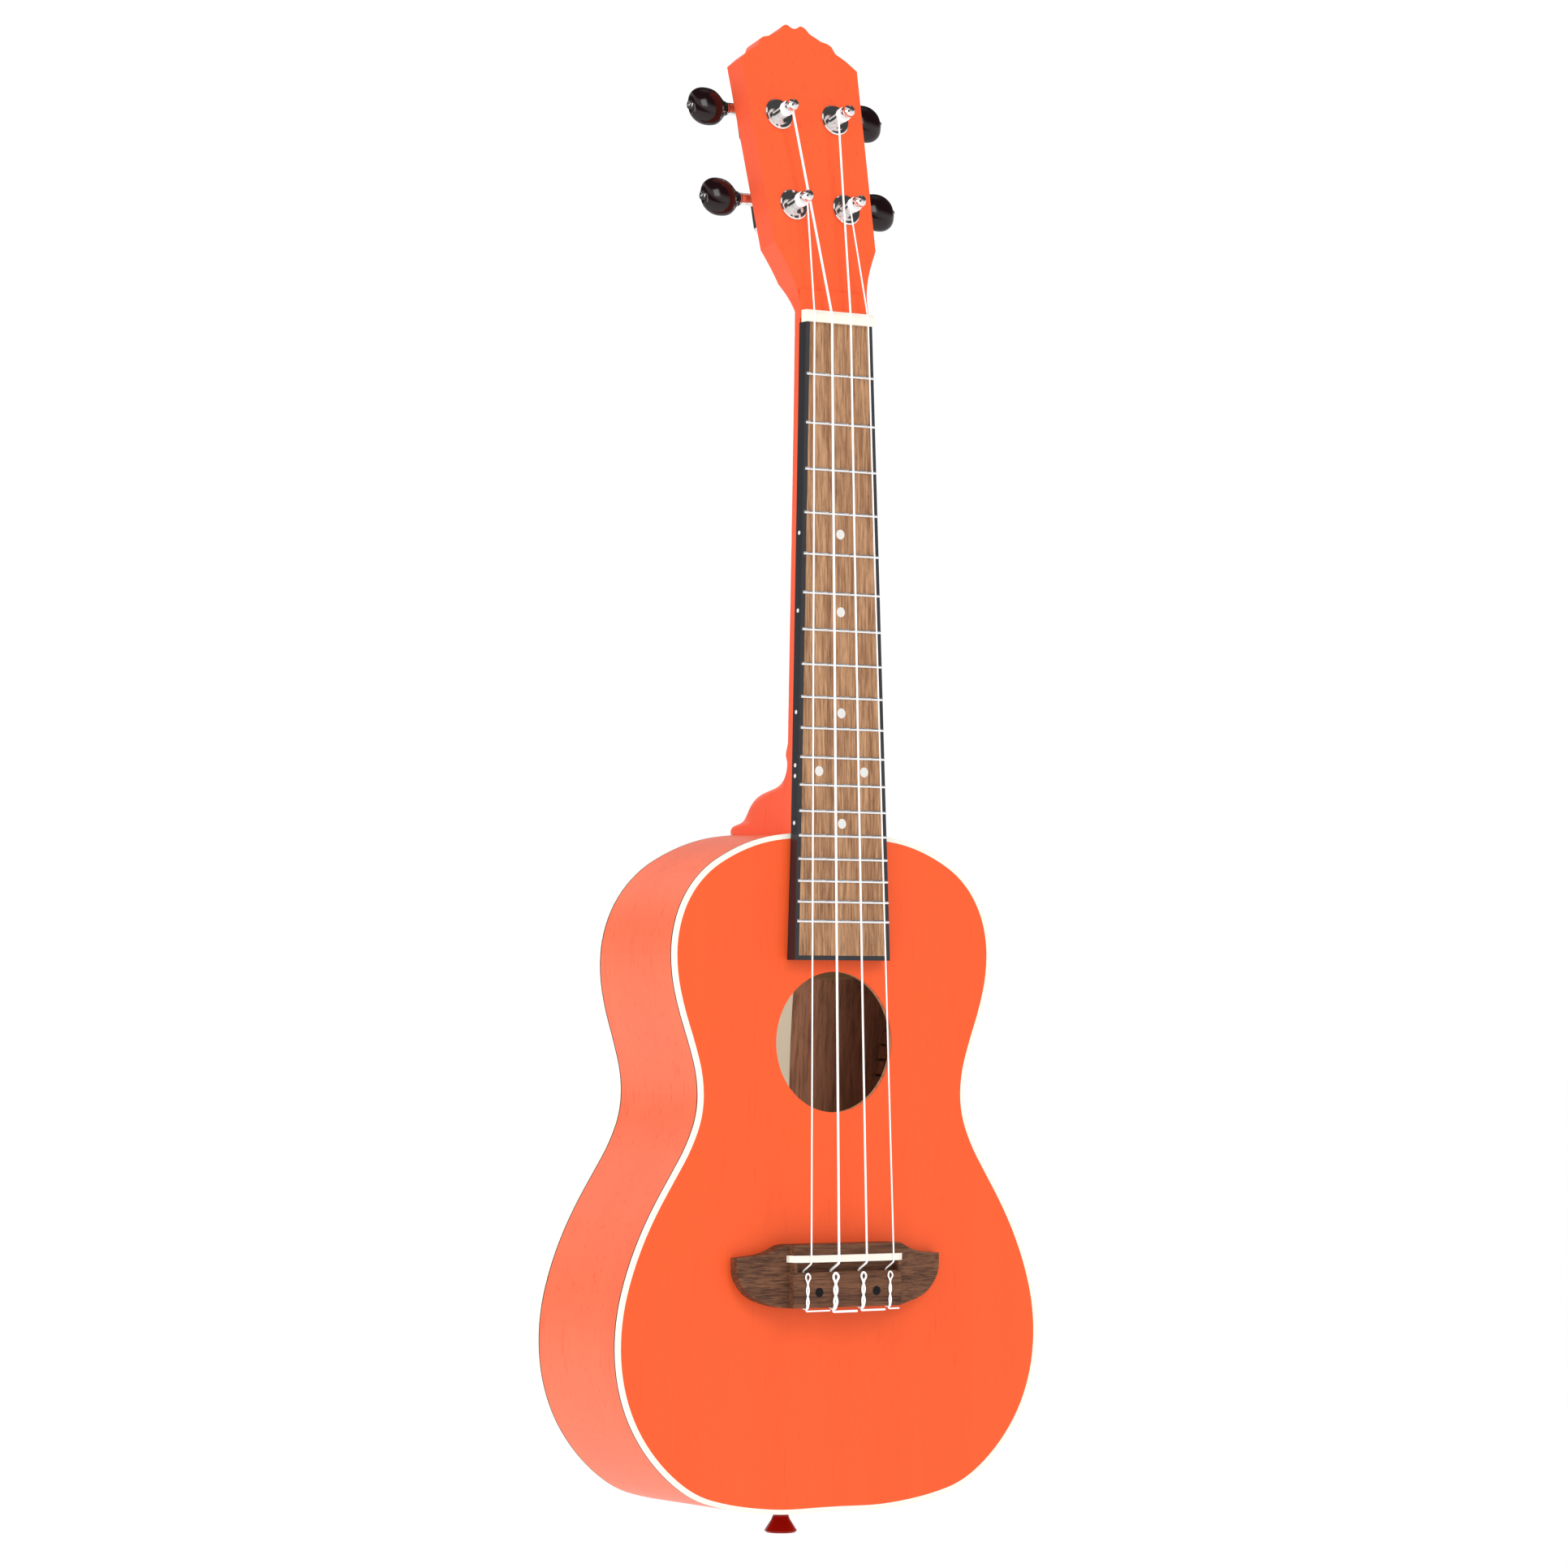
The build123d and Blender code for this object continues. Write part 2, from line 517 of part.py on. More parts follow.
def make_button():
    """Built about the worm axis at height zero, then copied to each machine."""
    z = 0
    curve = Spline((0, 3.2), (2.0, 4.6), (5.2, 7.4), (9.2, 8.3), (13.6, 7.6), (16.6, 5.2), (BUTTON_LEN, 2.6),
                   tangents=[(1, 0.2), (0.1, -1)])
    outline = Curve() + [Line((0, 0), (0, 3.2)), curve, Line((BUTTON_LEN, 2.6), (BUTTON_LEN, 0)),
                         Line((BUTTON_LEN, 0), (0, 0))]
    knob_ = scale(revolve(make_face(outline), Axis.X, 360), by=(1, 0.56, 1))
    knob_ = Pos(SHAFT_OUT, WORM_DEEP, z) * knob_
    knob_ -= Pos(SHAFT_OUT + 7.0, WORM_DEEP, z) * Box(14.0, 2.0, 2.0)
    knob_ -= across(SHAFT_OUT + 13.0, SHAFT_OUT + 20.0, 0.7, z)
    return knob_


def make_button_screw(x, s):
    z = s + WORM_UP
    end = SHAFT_OUT + BUTTON_LEN
    pin = across(end - 8.0, end + 0.1, 0.6, z)
    pin += across(end, end + 0.7, 1.9, z)
    pin -= Pos(end + 0.7, WORM_DEEP, z) * Box(0.8, 0.5, 2.4)
    pin -= Pos(end + 0.7, WORM_DEEP, z) * Box(0.8, 2.4, 0.5)
    return pin


def on_head(shape, sx):
    return HEAD * (shape if sx > 0 else mirrored(shape))


button_blank = make_button()
covers = []
bushings = []
washers = []
screws = []
for name, sx, x, s in TUNERS:
    save(on_head(make_post(x, s), sx), "post_" + name)
    save(on_head(make_winding(x, s), sx), "winding_" + name)
    save(on_head(make_worm(x, s), sx), "worm_" + name)
    save(on_head(make_case(x, s), sx), "tuner_case_" + name)
    save(on_head(Pos(0, 0, s + WORM_UP) * button_blank, sx), "button_" + name)
    save(on_head(make_button_screw(x, s), sx), "button_screw_" + name)
    covers.append(on_head(make_cover(x, s), sx))
    tube = rod(x, s, 4.0, -1.0, HEAD_T) + rod(x, s, 4.7, -2.2, -1.0)
    tube -= rod(x, s, POST_R + FIT, -5, 20)
    bushings.append(on_head(tube, sx))
    disc = spun([(4.0, 0), (6.7, 0), (6.7, 0.55), (6.2, 0.95), (4.0, 1.0)], Pos(x, 0, s) * Rot(X=90))
    washers.append(on_head(disc, sx))
    y = HEAD_T + 1.6
    fix = rod(x, s - 10.0, 1.1, y - 6.0, y) + rod(x, s - 10.0, 2.2, y, y + 1.0)
    fix -= Pos(x, y + 0.9, s - 10.0) * Box(2.6, 0.9, 0.6)
    fix -= Pos(x, y + 0.9, s - 10.0) * Box(0.6, 0.9, 2.6)
    screws.append(on_head(fix, sx))
save(group(covers), "tuner_covers")
save(group(bushings), "tuner_bushings")
save(group(washers), "tuner_washers")
save(group(screws), "tuner_screws")

# ---- strings ---------------------------------------------------------------


def unit(v):
    return v / v.length


def string_path(corners, ease):
    """Straight runs joined by short curves, so the string bends over the nut and saddle."""
    pts = [Vector(*c) for c in corners]
    edges = []
    last = pts[0]
    for a, b, c in zip(pts, pts[1:], pts[2:]):
        d0 = unit(b - a)
        d1 = unit(c - b)
        p = b - d0 * ease
        q = b + d1 * ease
        edges.append(Line(last, p))
        edges.append(Spline(p, q, tangents=[d0, d1]))
        last = q
    edges.append(Line(last, pts[-1]))
    return edges


TWIST_LOW = -404.0       # the loop's two strands twist once round each other between these heights
TWIST_TOP = -394.6


def knot(x, r, tail):
    """The tied end: round the block's lower edge, twisted up it, round an eye, twisted back, tail to the side."""
    rho = 1.1 * r + 0.06
    axis_y = -BLOCK_TOP - rho - r - 0.16
    riser = -405.6 - r - 0.12
    low = riser - 2 * r - 0.18
    n = 8
    up = [(2 * math.pi * k / n, TWIST_LOW + (TWIST_TOP - TWIST_LOW) * k / n) for k in range(n + 1)]
    pts = [(x + rho * math.cos(a), axis_y - rho * math.sin(a), z) for a, z in up]
    eye = r + 0.75
    pts += [(x + eye, axis_y - 0.1, -393.3), (x + 0.72 * eye, axis_y, -392.1), (x, axis_y + 0.1, -391.5),
            (x - 0.72 * eye, axis_y, -392.1), (x - eye, axis_y - 0.1, -393.3)]
    pts += [(x - rho * math.cos(a), axis_y + rho * math.sin(a), z) for a, z in up[::-1]]
    body = Spline(*[Vector(*p) for p in pts])
    start = body @ 0 - (body % 0) * ((TWIST_LOW - riser) / (body % 0).Z)
    over = body @ 1 + (body % 1) * 0.8
    entry = [(x, -8.4, -404.2), (x, -8.4, riser), tuple(start), pts[0]]
    leave = [pts[-1], tuple(over), (over.X, -11.2, low), (x + tail, -10.4, low)]
    return string_path(entry, 0.85) + [body] + string_path(leave, 0.75)


lookup = {name: (sx, x, s) for name, sx, x, s in TUNERS}
for name, xn, xs, r in zip(STRING_NAMES, STRING_NUT, STRING_SADDLE, STRING_R):
    sx, x, s = lookup[name]
    nut_front = point(NECK, xn, -NUT_TOP, 0.6)
    nut_back = point(NECK, xn, -NUT_TOP, 3.2)
    post_mid = Vector(sx * x, s)
    nut_on_head = (HEAD.inverse() * Pos(*nut_back)).position
    flat = Vector(nut_on_head.X, nut_on_head.Z)
    gap = post_mid - flat
    reach = WIND_R + 0.05
    ang = math.atan2(gap.Y, gap.X)
    swing = math.asin(reach / gap.length)
    turn = ang + sx * swing
    run = math.sqrt(gap.length ** 2 - reach ** 2)
    touch = (flat.X + run * math.cos(turn), flat.Y + run * math.sin(turn))
    keep = run - 3.2
    f = keep / run
    start_h = (flat.X + keep * math.cos(turn), nut_on_head.Y + (WIND_Y - nut_on_head.Y) * f,
               flat.Y + keep * math.sin(turn))
    start = point(HEAD, *start_h)
    corners = [tuple(start), tuple(nut_back), (xs, -SADDLE_TOP - r - 0.12, SADDLE_Z - SADDLE_T / 2 - 0.4),
               (xs, -8.4, -390.6), (xs, -8.4, -404.2)]
    edges = string_path(corners, 0.9)
    tail = 5.5 if name == "a" else 12.0
    edges += knot(xs, r, tail)
    wire = Wire(edges)
    begin = Plane(origin=wire @ 0, z_dir=wire % 0)
    save(sweep(begin * Circle(r), path=wire), "string_" + name)
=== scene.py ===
import bmesh
import bpy
import math
from mathutils import Matrix, Vector


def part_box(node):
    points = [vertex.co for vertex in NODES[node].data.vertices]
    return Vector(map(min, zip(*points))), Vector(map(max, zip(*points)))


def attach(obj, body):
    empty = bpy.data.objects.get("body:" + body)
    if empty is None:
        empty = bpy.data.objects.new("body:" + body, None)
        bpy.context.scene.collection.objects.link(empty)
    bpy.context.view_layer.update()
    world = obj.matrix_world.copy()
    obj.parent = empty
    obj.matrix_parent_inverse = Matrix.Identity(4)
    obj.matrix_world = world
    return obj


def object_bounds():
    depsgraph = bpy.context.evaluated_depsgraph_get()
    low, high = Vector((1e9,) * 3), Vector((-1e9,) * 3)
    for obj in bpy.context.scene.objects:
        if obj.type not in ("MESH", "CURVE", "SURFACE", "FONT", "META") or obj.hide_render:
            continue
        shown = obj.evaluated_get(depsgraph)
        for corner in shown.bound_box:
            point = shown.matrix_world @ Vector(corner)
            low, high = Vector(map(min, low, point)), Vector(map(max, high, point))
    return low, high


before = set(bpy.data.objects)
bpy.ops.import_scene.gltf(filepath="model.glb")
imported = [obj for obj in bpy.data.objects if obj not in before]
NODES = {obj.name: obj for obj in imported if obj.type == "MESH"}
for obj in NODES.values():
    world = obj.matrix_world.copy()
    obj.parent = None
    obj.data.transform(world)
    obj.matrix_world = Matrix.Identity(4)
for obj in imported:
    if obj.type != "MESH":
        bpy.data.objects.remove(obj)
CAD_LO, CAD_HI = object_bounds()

PORE_DEPTH = 0.0003

# The colour sockets of a Mix node, which shares its socket names between its kinds.
MIX_FACTOR, MIX_A, MIX_B = 0, 6, 7
MIX_COLOUR = 2


# ---- shader maths ----------------------------------------------------------
class Sock:
    """A shader socket that can be added, taken away and multiplied like a number."""

    def __init__(self, tree, out):
        self.tree = tree
        self.out = out

    def math(self, op, other=None, swap=False):
        n = self.tree.nodes.new("ShaderNodeMath")
        n.operation = op
        for value, socket in zip((other, self) if swap else (self, other), n.inputs):
            if value is not None:
                plug(self.tree, value, socket)
        return Sock(self.tree, n.outputs[0])

    def __add__(self, o):
        return self.math("ADD", o)

    __radd__ = __add__

    def __sub__(self, o):
        return self.math("SUBTRACT", o)

    def __rsub__(self, o):
        return self.math("SUBTRACT", o, True)

    def __mul__(self, o):
        return self.math("MULTIPLY", o)

    __rmul__ = __mul__

    def above(self, o):
        return self.math("GREATER_THAN", o)

    def clamped(self):
        n = self.tree.nodes.new("ShaderNodeClamp")
        plug(self.tree, self, n.inputs[0])
        return Sock(self.tree, n.outputs[0])


def plug(tree, value, socket):
    """Link a socket, or set a plain value; a colour of three numbers gets its alpha."""
    if isinstance(value, Sock):
        tree.links.new(value.out, socket)
    else:
        socket.default_value = (*value, 1.0) if socket.type == "RGBA" and len(value) == 3 else value


class Finish:
    """One material with a Principled shader, built up from named nodes."""

    def __init__(self, name, colour=(0.8, 0.8, 0.8), rough=0.5, **more):
        self.mat = bpy.data.materials.new(name)
        self.mat.use_nodes = True
        self.tree = self.mat.node_tree
        self.main = self.tree.nodes["Principled BSDF"]
        self.put("Base Color", colour)
        self.put("Roughness", rough)
        for key, value in more.items():
            self.put(key.replace("_", " "), value)
        self.spot = Sock(self.tree, self.node("TexCoord").outputs["Object"])

    def put(self, key, value):
        plug(self.tree, value, self.main.inputs[key])

    def lit(self, colour, strength):
        """A slight light of its own, where the studio light doesn't reach."""
        self.put("Emission Color", colour)
        self.put("Emission Strength", strength)
        return self

    def node(self, kind, settings=None, **inputs):
        """Any node: its settings first, then the values or links of its named sockets."""
        n = self.tree.nodes.new("ShaderNode" + kind)
        for key, value in (settings or {}).items():
            setattr(n, key, value)
        for key, value in inputs.items():
            plug(self.tree, value, n.inputs[key.replace("_", " ")])
        return n

    def noise(self, stretch, detail=2.0, rough=0.5):
        """Noise over the object's own position, scaled so that grain runs along one direction."""
        spot = Sock(self.tree, self.node("Mapping", Vector=self.spot, Scale=stretch).outputs[0])
        n = self.node("TexNoise", Vector=spot, Scale=1.0, Detail=detail, Roughness=rough)
        return Sock(self.tree, n.outputs[0])

    def split(self, vector):
        """The x, y and z of a vector."""
        return [Sock(self.tree, o) for o in self.node("SeparateXYZ", Vector=vector).outputs]

    def axes(self):
        return self.split(self.spot)

    def facing(self):
        """The way the surface faces, as x, y and z."""
        return self.split(Sock(self.tree, self.node("NewGeometry").outputs["Normal"]))

    def step(self, value, low, high):
        """0 below low, 1 above high, smooth between."""
        smooth = {"interpolation_type": "SMOOTHSTEP"}
        n = self.node("MapRange", smooth, Value=value, From_Min=low, From_Max=high)
        return Sock(self.tree, n.outputs[0])

    def blend(self, factor, a, b):
        n = self.node("Mix", {"data_type": "RGBA"})
        for value, index in ((factor, MIX_FACTOR), (a, MIX_A), (b, MIX_B)):
            plug(self.tree, value, n.inputs[index])
        return Sock(self.tree, n.outputs[MIX_COLOUR])

    def bump(self, height, strength):
        n = self.node("Bump", Height=height, Strength=strength, Distance=PORE_DEPTH)
        self.put("Normal", Sock(self.tree, n.outputs[0]))


def srgb(*levels):
    """A screen colour, 0 to 255, as the linear one that shaders take."""
    return tuple(v / 255 / 12.92 if v <= 10 else ((v / 255 + 0.055) / 1.055) ** 2.4 for v in levels)


def times(colour, factor):
    return tuple(min(1.0, c * factor) for c in colour)


# ---- finishes --------------------------------------------------------------
ORANGE = srgb(253, 94, 40)
# A darker orange that is painted shade on the neck's side faces.
ORANGE_SHADED_SIDE = srgb(243, 92, 56)
# The sides' orange stain, painted lighter and pinker: a painted sheen from the white room at grazing
# angles, over the stain's own colour.
ORANGE_WITH_SHEEN = srgb(247, 112, 76)
PORE = srgb(205, 62, 26)
RAW = srgb(176, 126, 98)
SATIN = 0.42
BARE_EXTRA_ROUGH = 0.33
BARE_GLOW = 0.34
# The glow is full up to x = 0.010 and fades to none at x = 0.052, on the treble side.
BARE_GLOW_X = (-0.052, -0.010)

# The back is flat below the waist and bends forward above it on a large arc.
BACK_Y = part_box("back_plate")[1].y
BACK_BEND_Z = -0.33
BACK_BEND_R = 0.530
BACK_SKIN = 0.0009
TOP_SKIN = 0.0006
BODY_MIDDLE_Z = -0.36


def painted(name, grain, raw_mask=None, colour=ORANGE, pores=0.5, side_shade=None):
    """Satin orange stain over open-pored wood; raw_mask is 1 where the wood is left bare; the last
    argument, a colour, is painted shade for faces turned away from the front.
    """
    f = Finish(name, rough=SATIN, Specular_IOR_Level=0.3)
    pore = f.step(f.noise(grain, 3.0, 0.65), 0.56, 0.70)
    broad = f.noise(tuple(g * 0.06 for g in grain))
    tone = f.blend(f.step(broad, 0.3, 0.75), times(colour, 0.955), times(colour, 1.03))
    if side_shade:
        # Painted shade: faces turned away from the front take the darker orange in place of the light
        # falling off there.
        front = f.step(f.facing()[1] * -1.0, 0.5, 0.9)
        tone = f.blend(front, side_shade, tone)
    coat = f.blend(pore * (0.5 * pores), tone, PORE)
    if raw_mask:
        streak = f.step(f.noise(grain, 4.0, 0.65) * 0.7 + broad * 0.3, 0.36, 0.62)
        bare = f.blend(streak, times(RAW, 0.55), times(RAW, 1.2))
        mask = raw_mask(f)
        near = f.step(f.axes()[0] * -1.0, *BARE_GLOW_X)
        coat = f.blend(mask, coat, bare)
        f.put("Roughness", mask * BARE_EXTRA_ROUGH + SATIN)
        f.lit(f.blend(mask * near, (0.0, 0.0, 0.0), bare), BARE_GLOW)
    f.put("Base Color", coat)
    fine = f.noise(tuple(g * 1.7 for g in grain))
    f.bump(fine * 0.25 - pore * (0.8 * pores), 0.20)
    return f.mat


def inside_back(f):
    """1 on the hollow side of the back: more than a skin in from its outer face."""
    y, z = f.axes()[1:]
    up = (z - BACK_BEND_Z).math("MAXIMUM", 0.0)
    outer = BACK_Y - up * up * (1 / (2 * BACK_BEND_R))
    return (outer - y).above(BACK_SKIN)


def inside_top(f):
    """1 on the hollow side of the soundboard, whose face is at y = 0."""
    return f.axes()[1].above(TOP_SKIN)


def inside_side(f):
    """1 where a side faces the middle of the body; width counts for more than length."""
    x, y, z = f.axes()
    nx, ny, nz = f.facing()
    outward = (nx * x * 4.0 + nz * (z - BODY_MIDDLE_Z)).above(0.0)
    return 1.0 - outward


def wood(name, dark, light, grain, streak=0.5, rough=0.6):
    """Bare wood: long growth lines, broad figure and fine dark pores."""
    f = Finish(name, rough=rough, Specular_IOR_Level=0.25)
    lines = f.noise(grain, 4.0, 0.62)
    broad = f.noise(tuple(g * 0.22 for g in grain))
    pore = f.step(f.noise(tuple(g * 2.2 for g in grain), 2.0, 0.7), 0.55, 0.66)
    base = f.blend(f.step(lines * streak + broad * (1 - streak), 0.32, 0.66), dark, light)
    f.put("Base Color", f.blend(pore * 0.45, base, times(dark, 0.42)))
    f.bump(lines * 0.4 - pore, 0.35)
    return f.mat


def plain(name, colour, rough, glow=None, **more):
    """One colour, with a very soft unevenness; glow is a slight light of its own."""
    f = Finish(name, rough=rough, **more)
    soft = f.noise((60, 60, 60))
    f.put("Base Color", f.blend(soft, times(colour, 0.96), times(colour, 1.03)))
    if glow:
        f.lit(colour, glow)
    return f.mat


def metal(name, colour, rough):
    """Polished metal whose shine varies a little."""
    f = Finish(name, colour, rough, Metallic=1.0)
    worn = f.noise((900, 900, 900))
    f.put("Roughness", f.step(worn, 0.2, 0.9) * 0.05 + rough)
    return f.mat


# Grain, as noise steps per metre along x, y and z: few along the fibres, many across them.
ALONG_Z = (700, 700, 45)
SIDE_GRAIN = (700, 900, 60)
BRACE_GRAIN = (45, 700, 700)
BOARD_GRAIN = (1100, 1100, 55)
BRIDGE_GRAIN = (60, 1000, 1300)
paint_top = painted("orange stain, soundboard", ALONG_Z, inside_top, pores=0.35)
paint_back = painted("orange stain, back", ALONG_Z, inside_back)
# The sides' colour carries a painted sheen, lighter and pinker than the soundboard's.
paint_side = painted("orange stain with painted sheen, sides", SIDE_GRAIN, inside_side, ORANGE_WITH_SHEEN, 0.8)
# The neck's side faces get painted shade.
paint_neck = painted("orange stain, neck, painted side shade", ALONG_Z, side_shade=ORANGE_SHADED_SIDE)
cream = plain("cream edging", srgb(255, 250, 236), 0.35)
dark_line = plain("dark line", srgb(34, 12, 8), 0.45)
mahogany = wood("raw mahogany", times(RAW, 0.55), times(RAW, 1.15), ALONG_Z)
spruce = wood("raw spruce", srgb(150, 112, 74), srgb(196, 160, 116), BRACE_GRAIN)
board = wood("walnut board", srgb(134, 92, 62), srgb(204, 157, 117), BOARD_GRAIN, 0.7)
bridge_wood = wood("walnut bridge", srgb(68, 40, 27), srgb(130, 86, 60), BRIDGE_GRAIN, 0.7)
black = plain("black edging", srgb(34, 34, 38), 0.38)
plug_black = plain("black plug", srgb(12, 10, 10), 0.6, Specular_IOR_Level=0.2)
pearl = plain("pearl dot", srgb(232, 230, 226), 0.25)
fret_metal = metal("fret metal", (0.86, 0.86, 0.87), 0.20)
bone = plain("bone white", srgb(248, 243, 230), 0.35)
chrome = metal("chrome", (0.82, 0.80, 0.79), 0.07)
red_metal = metal("dark red metal", (0.26, 0.018, 0.014), 0.12)
steel = metal("steel", (0.5, 0.5, 0.5), 0.35)
key_black = plain("black key", (0.010, 0.002, 0.003), 0.14, Specular_IOR_Level=0.4)
nylon = plain("clear nylon", srgb(250, 250, 250), 0.30, glow=0.18)
paper = plain("plain label", srgb(236, 224, 196), 0.8, glow=0.45)

PAINT = {
    "soundboard": paint_top, "back_plate": paint_back, "side_left": paint_side, "side_right": paint_side,
    "neck": paint_neck, "front_binding": cream, "back_binding": cream, "purfling": dark_line,
    "linings": mahogany, "neck_block": mahogany, "tail_block": mahogany,
    "top_braces": spruce, "back_braces": spruce,
    "seam_strips": spruce, "bridge_patch": spruce, "label": paper, "heel_dowel": spruce,
    "fingerboard": board, "fingerboard_edging": black, "position_dots": pearl, "frets": fret_metal,
    "nut": bone, "saddle": bone, "bridge": bridge_wood, "bridge_plugs": plug_black, "bridge_bolts": steel,
    "strap_button": red_metal, "strap_screw": chrome, "tuner_covers": chrome, "tuner_bushings": chrome,
    "tuner_washers": chrome, "tuner_screws": chrome,
}
for tuner in "gcea":
    for kind in ("tuner_case_", "post_", "worm_", "button_screw_"):
        PAINT[kind + tuner] = chrome
    PAINT["button_" + tuner] = key_black
    PAINT["winding_" + tuner] = nylon
    PAINT["string_" + tuner] = nylon
CREASE = math.radians(32)
for name, obj in NODES.items():
    obj.data.materials.clear()
    obj.data.materials.append(PAINT[name])
    for p in obj.data.polygons:
        p.use_smooth = True
    obj.data.set_sharp_from_angle(angle=CREASE)


# ---- string leads, from each string's end onto its post winding ----------------
# Lengths are the instrument's own, in metres. The neck tilts about the place where it joins the
# body, and the headstock tilts again behind the nut.
NECK_JOINT = Vector((0, 0, -0.216))
NECK_TILT = math.radians(-1.2)
HEAD_ROOT = Vector((0, -0.00164, 0.005))
HEAD_TILT = math.radians(-13.2)
TO_JOINT = Matrix.Translation(NECK_JOINT)
TILTED_NECK = TO_JOINT @ Matrix.Rotation(NECK_TILT, 4, "X") @ TO_JOINT.inverted()
HEAD_FACE = TILTED_NECK @ Matrix.Translation(HEAD_ROOT) @ Matrix.Rotation(HEAD_TILT, 4, "X")
LOWER_POST = (0.0133, 0.0468)
UPPER_POST = (0.0142, 0.0871)
WINDING_R = 0.0026
WRAP_STEPS = 8
WRAP_STEP = math.pi / 10
BASS, TREBLE = -1, 1


def new_piece(name, bm):
    """Turn a finished bmesh into an object in the scene."""
    mesh = bpy.data.meshes.new(name)
    bm.to_mesh(mesh)
    bm.free()
    obj = bpy.data.objects.new(name, mesh)
    bpy.context.scene.collection.objects.link(obj)
    return obj


def cord(name, points, radius, sides=12):
    """A round cord through the points, closed at both ends."""
    bm = bmesh.new()
    rings = []
    for before, p, after in zip(points[:1] + points, points, points[1:] + points[-1:]):
        turn = (after - before).to_track_quat("Z", "Y").to_matrix().to_4x4()
        place = Matrix.Translation(p) @ turn
        rings.append(bmesh.ops.create_circle(bm, segments=sides, radius=radius, matrix=place)["verts"])
    hoops = [list({e for v in ring for e in v.link_edges}) for ring in rings]
    for near, far in zip(hoops, hoops[1:]):
        bmesh.ops.bridge_loops(bm, edges=near + far)
    bmesh.ops.contextual_create(bm, geom=rings[0])
    bmesh.ops.contextual_create(bm, geom=rings[-1])
    bmesh.ops.recalc_face_normals(bm, faces=bm.faces)
    for face in bm.faces:
        face.smooth = True
    return new_piece(name, bm)


def string_lead(tuner, side, post, radius):
    """Straight from the string's end to the winding, then two fifths of a turn round it."""
    node = NODES["string_" + tuner]
    spots = [node.matrix_world @ v.co for v in node.data.vertices]
    top = max(p.z for p in spots)
    end_ring = [p for p in spots if p.z > top - 2.2 * radius]
    end = HEAD_FACE.inverted() @ (sum(end_ring, Vector()) / len(end_ring))

    # Seen square to the headstock face: x across it and z along it.
    axis = Vector((side * post[0], post[1]))
    start = Vector((end.x, end.z))
    gap = axis - start
    heading = math.atan2(gap.y, gap.x) + side * math.asin(min(1.0, WINDING_R / gap.length))
    run = math.sqrt(max(gap.length ** 2 - WINDING_R ** 2, 0.0))
    touch = start + Vector((math.cos(heading), math.sin(heading))) * run
    first = math.atan2(touch.y - axis.y, touch.x - axis.x)
    path = [start, (start + touch) / 2]
    for i in range(WRAP_STEPS + 1):
        angle = first - side * i * WRAP_STEP
        path.append(axis + Vector((math.cos(angle), math.sin(angle))) * WINDING_R)

    lead = cord("string_lead_" + tuner, [HEAD_FACE @ Vector((p.x, end.y, p.y)) for p in path], radius)
    lead.data.materials.append(nylon)
    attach(lead, "instrument")


string_lead("g", BASS, LOWER_POST, 0.00033)
string_lead("c", BASS, UPPER_POST, 0.00050)
string_lead("e", TREBLE, UPPER_POST, 0.00042)
string_lead("a", TREBLE, LOWER_POST, 0.00031)


# ---- floor, room and lights ----------------------------------------------------
FLOOR_DROP = 0.55
FLOOR_HALF = 30.0
floor_bm = bmesh.new()
floor_place = Matrix.Translation((0, 0, CAD_LO.z - FLOOR_DROP))
bmesh.ops.create_grid(floor_bm, x_segments=1, y_segments=1, size=FLOOR_HALF, matrix=floor_place)
floor = new_piece("floor", floor_bm)
pale = Finish("pale floor", (0.9, 0.9, 0.9), 0.9, Specular_IOR_Level=0.0).lit((1.0, 1.0, 1.0), 0.25)
floor.data.materials.append(pale.mat)



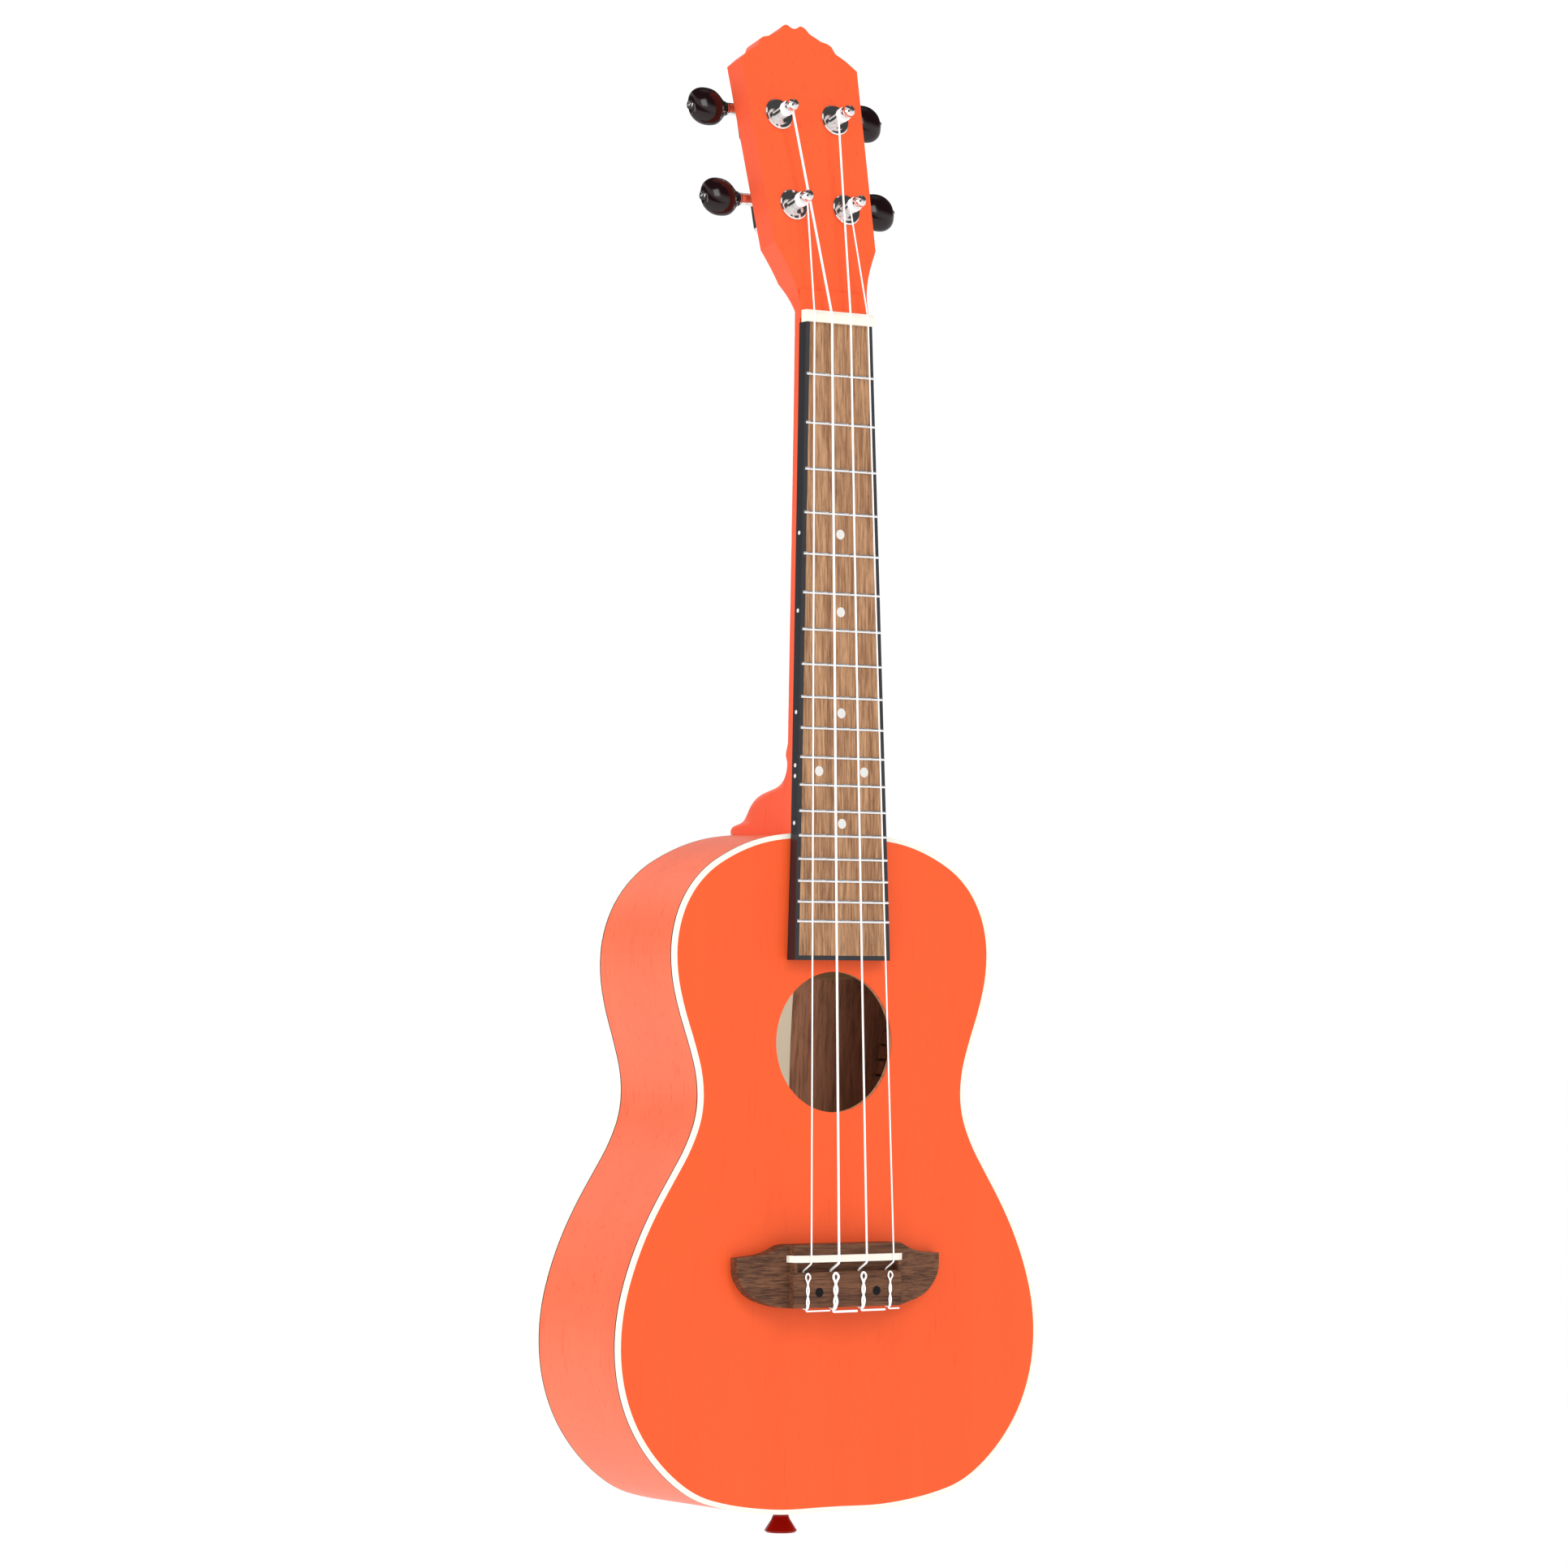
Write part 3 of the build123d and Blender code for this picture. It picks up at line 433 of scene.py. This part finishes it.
def studio_room(scene):
    """A white backdrop, soft even light from the room, and dark and light bands for metal to mirror."""
    world = bpy.data.worlds.new("studio")
    world.use_nodes = True
    tree = world.node_tree
    background = tree.nodes["Background"]
    background.inputs["Color"].default_value = (1.0, 1.0, 1.0, 1.0)
    split = tree.nodes.new("ShaderNodeSeparateXYZ")
    tree.links.new(tree.nodes.new("ShaderNodeTexCoord").outputs["Generated"], split.inputs[0])
    dx, dy, dz = (Sock(tree, o) for o in split.outputs)
    ray = tree.nodes.new("ShaderNodeLightPath")
    camera_ray = Sock(tree, ray.outputs["Is Camera Ray"])
    glossy_ray = Sock(tree, ray.outputs["Is Glossy Ray"])
    soft = 0.74 + dx * -0.08 + dz * 0.14
    bands = ((dz * 7.0 + dx * 3.0 - 1.4).math("SINE") * 0.9 + 0.35).clamped() * 0.95 + 0.06
    room = soft + glossy_ray * (bands - soft)
    plug(tree, camera_ray * (1.05 - room) + room, background.inputs["Strength"])
    scene.world = world


def soft_box(scene, name, place, aim, size, watts):
    data = bpy.data.lights.new(name, "AREA")
    data.shape = "SQUARE"
    data.size = size
    data.energy = watts
    obj = bpy.data.objects.new(name, data)
    obj.location = place
    obj.rotation_mode = "QUATERNION"
    obj.rotation_quaternion = (Vector(aim) - Vector(place)).to_track_quat("-Z", "Y")
    scene.collection.objects.link(obj)


# ---- camera --------------------------------------------------------------------
YAW, PITCH, ROLL = (math.radians(v) for v in (34.20, 1.996, 0.388))
DISTANCE = 2.234
TARGET = Vector((-0.0257, 0.00044, -0.1913))
LENS_MM = 124.87
SENSOR_MM = 36.0


def camera(scene):
    """A long lens to the left of the instrument, almost level and turned a little about its view."""
    forward = Vector((math.sin(YAW) * math.cos(PITCH), math.cos(YAW) * math.cos(PITCH), math.sin(PITCH)))
    level = Vector((math.cos(YAW), -math.sin(YAW), 0))
    upright = level.cross(forward)
    right = level * math.cos(ROLL) + upright * math.sin(ROLL)
    up = upright * math.cos(ROLL) - level * math.sin(ROLL)
    data = bpy.data.cameras.new("camera")
    data.sensor_width = SENSOR_MM
    data.lens = LENS_MM
    data.clip_start = 0.1
    data.clip_end = 100.0
    obj = bpy.data.objects.new("camera", data)
    turn = Matrix((right, up, -forward)).transposed().to_4x4()
    obj.matrix_world = Matrix.Translation(TARGET - forward * DISTANCE) @ turn
    scene.collection.objects.link(obj)
    scene.camera = obj


stage = bpy.context.scene
middle = (CAD_LO + CAD_HI) / 2
studio_room(stage)
soft_box(stage, "key", middle + Vector((0.3, -1.9, 1.5)), middle, 0.9, 11)
soft_box(stage, "left fill", middle + Vector((-1.9, -0.2, 0.4)), middle, 1.0, 11)
camera(stage)
stage.view_settings.view_transform = "Standard"
stage.view_settings.look = "None"
